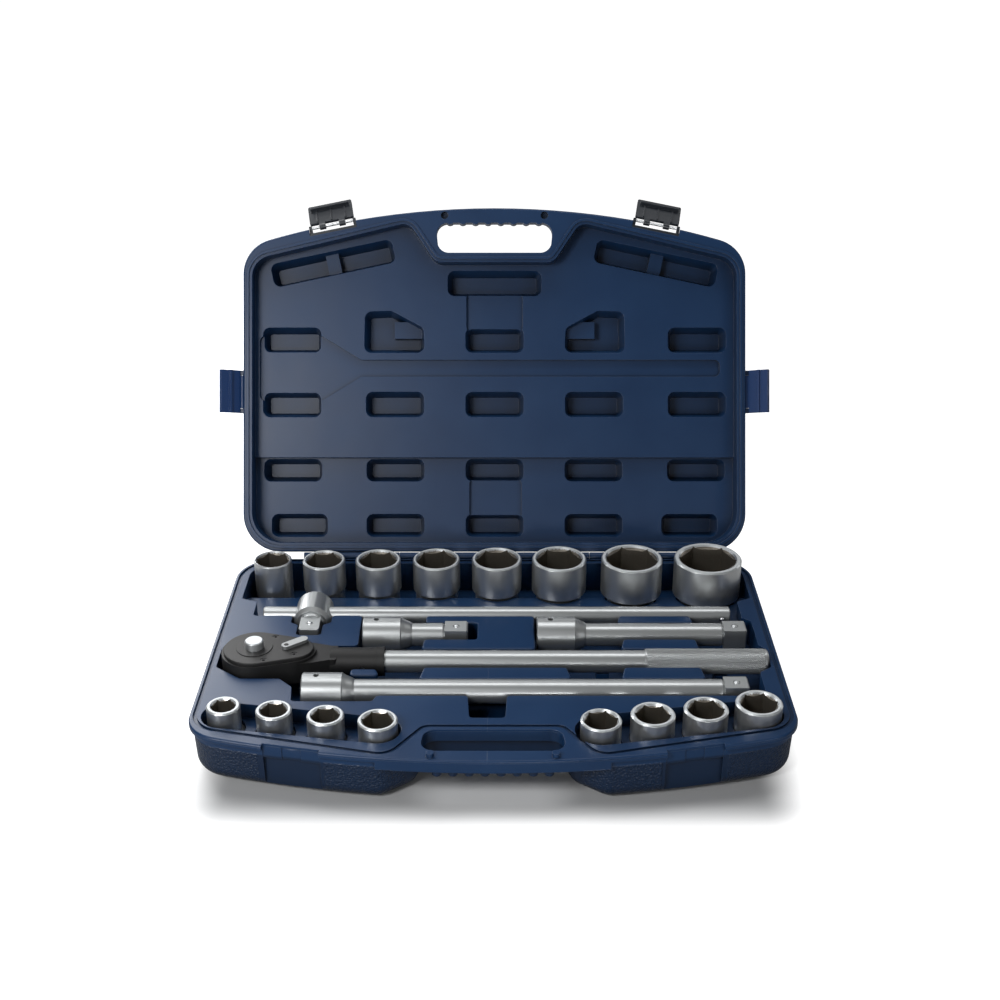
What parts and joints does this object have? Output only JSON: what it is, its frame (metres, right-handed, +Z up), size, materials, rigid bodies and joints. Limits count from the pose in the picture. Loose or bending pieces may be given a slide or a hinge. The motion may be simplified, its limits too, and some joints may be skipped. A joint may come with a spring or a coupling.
{
  "type": "socket wrench set in case",
  "caption": "Hinged double-walled plastic carrying case, open, holding sockets, extension bars, a sliding T-bar and a reversible ratchet in moulded seats.",
  "frame": {"origin": "centre of the base's flat bottom face", "axes": "+Z up, +X to the right seen from the handle side, +Y from the handle to the hinge"},
  "size_m": [0.5766, 0.5673, 0.3826],
  "materials": {
    "case": "fine satin",
    "latch": "satin",
    "tool": "satin chrome",
    "steel": "bright",
    "head": "matt black"
  },
  "bodies": {
    "base": {"base_outer_shell": "case", "base_tray_back": "case", "base_tray_bars": "case", "base_tray_ratchet": "case", "base_tray_left": "case", "base_tray_right": "case", "hinge_pins": "steel"},
    "lid": {"lid_outer_shell": "case", "lid_rim": "case", "lid_panel_back": "case", "lid_panel_front": "case", "latch_brackets": "latch", "latch_pins": "steel", "side_clasp_pins": "steel"},
    "latch_left": {"latch_left": "latch"},
    "latch_right": {"latch_right": "latch"},
    "side_clasp_left": {"side_clasp_left": "case"},
    "side_clasp_right": {"side_clasp_right": "case"},
    "socket_30": {"socket_30": "tool"},
    "socket_32": {"socket_32": "tool"},
    "socket_34": {"socket_34": "tool"},
    "socket_36": {"socket_36": "tool"},
    "socket_38": {"socket_38": "tool"},
    "socket_41": {"socket_41": "tool"},
    "socket_46": {"socket_46": "tool"},
    "socket_50": {"socket_50": "tool"},
    "socket_19": {"socket_19": "tool"},
    "socket_21": {"socket_21": "tool"},
    "socket_22": {"socket_22": "tool"},
    "socket_24": {"socket_24": "tool"},
    "socket_26": {"socket_26": "tool"},
    "socket_27": {"socket_27": "tool"},
    "socket_28": {"socket_28": "tool"},
    "socket_29": {"socket_29": "tool"},
    "extension_100": {"extension_100": "tool", "extension_100_spring": "steel"},
    "extension_100_ball": {"extension_100_ball": "steel"},
    "extension_200": {"extension_200": "tool", "extension_200_spring": "steel"},
    "extension_200_ball": {"extension_200_ball": "steel"},
    "extension_400": {"extension_400": "tool", "extension_400_spring": "steel"},
    "extension_400_ball": {"extension_400_ball": "steel"},
    "t_head": {"t_head": "tool", "t_head_spring": "steel"},
    "t_head_ball": {"t_head_ball": "steel"},
    "t_bar": {"t_bar": "tool", "t_bar_stops": "steel"},
    "ratchet": {"ratchet_housing": "head", "ratchet_cover": "head", "cover_screws": "head", "ratchet_handle": "tool", "handle_pin": "steel"},
    "drive": {"drive_gear": "head", "button_spring": "steel"},
    "release_button": {"release_button": "tool"},
    "drive_ball": {"drive_ball": "steel"},
    "reversing_lever": {"reversing_lever": "tool"},
    "pawl": {"pawl": "steel"}
  },
  "joints": [
    {"name": "lid_hinge", "type": "hinge", "parent": "base", "child": "lid", "pos_m": [0, 0.184, 0.048], "axis": [-1, 0, 0], "range_deg": [-115.5, 0]},
    {"name": "latch_left_hinge", "type": "hinge", "parent": "lid", "child": "latch_left", "pos_m": [-0.1712, 0.34162, 0.36104], "axis": [-0.98, -0.0856, -0.1795], "range_deg": [-125, 5]},
    {"name": "latch_right_hinge", "type": "hinge", "parent": "lid", "child": "latch_right", "pos_m": [0.1712, 0.34162, 0.36104], "axis": [-0.98, 0.0856, 0.1795], "range_deg": [-125, 5]},
    {"name": "side_clasp_left_hinge", "type": "hinge", "parent": "lid", "child": "side_clasp_left", "pos_m": [-0.2668, 0.26682, 0.20072], "axis": [0, -0.4305, -0.9026], "range_deg": [-50, 30]},
    {"name": "side_clasp_right_hinge", "type": "hinge", "parent": "lid", "child": "side_clasp_right", "pos_m": [0.2668, 0.26682, 0.20072], "axis": [0, 0.4305, 0.9026], "range_deg": [-50, 30]},
    {"name": "socket_30_lift", "type": "slide", "parent": "base", "child": "socket_30", "axis": [0, 0, 1], "range_m": [0, 0.1]},
    {"name": "socket_32_lift", "type": "slide", "parent": "base", "child": "socket_32", "axis": [0, 0, 1], "range_m": [0, 0.1]},
    {"name": "socket_34_lift", "type": "slide", "parent": "base", "child": "socket_34", "axis": [0, 0, 1], "range_m": [0, 0.1]},
    {"name": "socket_36_lift", "type": "slide", "parent": "base", "child": "socket_36", "axis": [0, 0, 1], "range_m": [0, 0.1]},
    {"name": "socket_38_lift", "type": "slide", "parent": "base", "child": "socket_38", "axis": [0, 0, 1], "range_m": [0, 0.1]},
    {"name": "socket_41_lift", "type": "slide", "parent": "base", "child": "socket_41", "axis": [0, 0, 1], "range_m": [0, 0.1]},
    {"name": "socket_46_lift", "type": "slide", "parent": "base", "child": "socket_46", "axis": [0, 0, 1], "range_m": [0, 0.1]},
    {"name": "socket_50_lift", "type": "slide", "parent": "base", "child": "socket_50", "axis": [0, 0, 1], "range_m": [0, 0.1]},
    {"name": "socket_19_lift", "type": "slide", "parent": "base", "child": "socket_19", "axis": [0, 0, 1], "range_m": [0, 0.1]},
    {"name": "socket_21_lift", "type": "slide", "parent": "base", "child": "socket_21", "axis": [0, 0, 1], "range_m": [0, 0.1]},
    {"name": "socket_22_lift", "type": "slide", "parent": "base", "child": "socket_22", "axis": [0, 0, 1], "range_m": [0, 0.1]},
    {"name": "socket_24_lift", "type": "slide", "parent": "base", "child": "socket_24", "axis": [0, 0, 1], "range_m": [0, 0.1]},
    {"name": "socket_26_lift", "type": "slide", "parent": "base", "child": "socket_26", "axis": [0, 0, 1], "range_m": [0, 0.1]},
    {"name": "socket_27_lift", "type": "slide", "parent": "base", "child": "socket_27", "axis": [0, 0, 1], "range_m": [0, 0.1]},
    {"name": "socket_28_lift", "type": "slide", "parent": "base", "child": "socket_28", "axis": [0, 0, 1], "range_m": [0, 0.1]},
    {"name": "socket_29_lift", "type": "slide", "parent": "base", "child": "socket_29", "axis": [0, 0, 1], "range_m": [0, 0.1]},
    {"name": "extension_100_lift", "type": "slide", "parent": "base", "child": "extension_100", "axis": [0, 0, 1], "range_m": [0, 0.1]},
    {"name": "extension_100_ball_press", "type": "slide", "parent": "extension_100", "child": "extension_100_ball", "axis": [0, 0, 1], "range_m": [-0.0012, 0], "stiffness_N_per_m": 500, "springref_m": 0.002, "deforming": ["extension_100_spring"]},
    {"name": "extension_200_lift", "type": "slide", "parent": "base", "child": "extension_200", "axis": [0, 0, 1], "range_m": [0, 0.1]},
    {"name": "extension_200_ball_press", "type": "slide", "parent": "extension_200", "child": "extension_200_ball", "axis": [0, 0, 1], "range_m": [-0.0012, 0], "stiffness_N_per_m": 500, "springref_m": 0.002, "deforming": ["extension_200_spring"]},
    {"name": "extension_400_lift", "type": "slide", "parent": "base", "child": "extension_400", "axis": [0, 0, 1], "range_m": [0, 0.1]},
    {"name": "extension_400_ball_press", "type": "slide", "parent": "extension_400", "child": "extension_400_ball", "axis": [0, 0, 1], "range_m": [-0.0012, 0], "stiffness_N_per_m": 500, "springref_m": 0.002, "deforming": ["extension_400_spring"]},
    {"name": "t_head_lift", "type": "slide", "parent": "base", "child": "t_head", "axis": [0, 0, 1], "range_m": [0, 0.1]},
    {"name": "t_bar_slide", "type": "slide", "parent": "t_head", "child": "t_bar", "axis": [1, 0, 0], "range_m": [-0.008, 0.008]},
    {"name": "t_head_ball_press", "type": "slide", "parent": "t_head", "child": "t_head_ball", "axis": [0, 0, 1], "range_m": [-0.0012, 0], "stiffness_N_per_m": 500, "springref_m": 0.002, "deforming": ["t_head_spring"]},
    {"name": "ratchet_lift", "type": "slide", "parent": "base", "child": "ratchet", "axis": [0, 0, 1], "range_m": [0, 0.1]},
    {"name": "drive_spin", "type": "hinge", "parent": "ratchet", "child": "drive", "pos_m": [-0.221, -0.019, 0.048], "axis": [0, 0, 1], "continuous": true},
    {"name": "button_press", "type": "slide", "parent": "drive", "child": "release_button", "axis": [0, 0, 1], "range_m": [-0.003, 0], "stiffness_N_per_m": 500, "springref_m": 0.004, "deforming": ["button_spring"]},
    {"name": "drive_ball_draw", "type": "slide", "parent": "drive", "child": "drive_ball", "axis": [0, 1, 0], "range_m": [0, 0.0012]},
    {"name": "lever_turn", "type": "hinge", "parent": "ratchet", "child": "reversing_lever", "pos_m": [-0.1915, -0.019, 0.056], "axis": [0, 0, 1], "range_deg": [-76, 0]},
    {"name": "pawl_rock", "type": "hinge", "parent": "ratchet", "child": "pawl", "pos_m": [-0.1915, -0.019, 0.048], "axis": [0, 0, 1], "range_deg": [-19, 0]}
  ],
  "couplings": [
    {"joint": "drive_ball_draw", "follows": "button_press", "ratio": -0.4},
    {"joint": "pawl_rock", "follows": "lever_turn", "ratio": 0.25}
  ]
}
